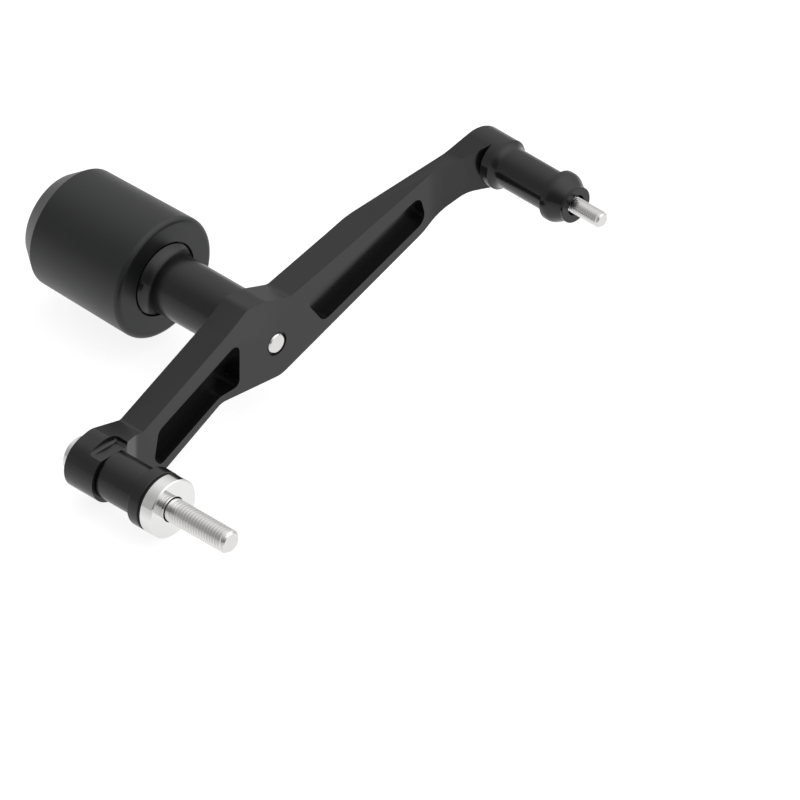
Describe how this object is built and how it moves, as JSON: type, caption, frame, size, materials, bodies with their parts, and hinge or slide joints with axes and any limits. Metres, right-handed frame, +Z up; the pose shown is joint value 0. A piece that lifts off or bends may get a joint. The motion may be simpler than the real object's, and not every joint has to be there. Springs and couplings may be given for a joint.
{
  "type": "motorcycle frame slider",
  "caption": "Motorcycle frame slider: a nylon crash puck on a spool stem, carried by a bracket arm that bolts to the motorcycle through spacers.",
  "frame": {"origin": "on the lower bolt's axis, in the inboard face of the steel washer that is clamped to the motorcycle", "axes": "+X inboard, towards the motorcycle, along the bolts. +Y along the arm from its lower bolt to its upper bolt. +Z up."},
  "size_m": [0.2223, 0.27, 0.0927],
  "materials": {
    "nylon": "turned black nylon, satin",
    "aluminium": "black anodised, fine satin",
    "rubber": "matt black",
    "steel": "bright stainless",
    "polished_steel": "turned and polished"
  },
  "bodies": {
    "root": {"slider_puck": "nylon", "puck_washer": "steel", "centre_bolt": "steel", "puck_stem": "aluminium", "bracket_arm": "aluminium", "lower_bolt": "steel", "lower_spacer": "aluminium", "lower_seal_ring": "rubber", "lower_washer": "polished_steel", "upper_spacer": "aluminium", "upper_bolt": "steel"}
  },
  "joints": []
}
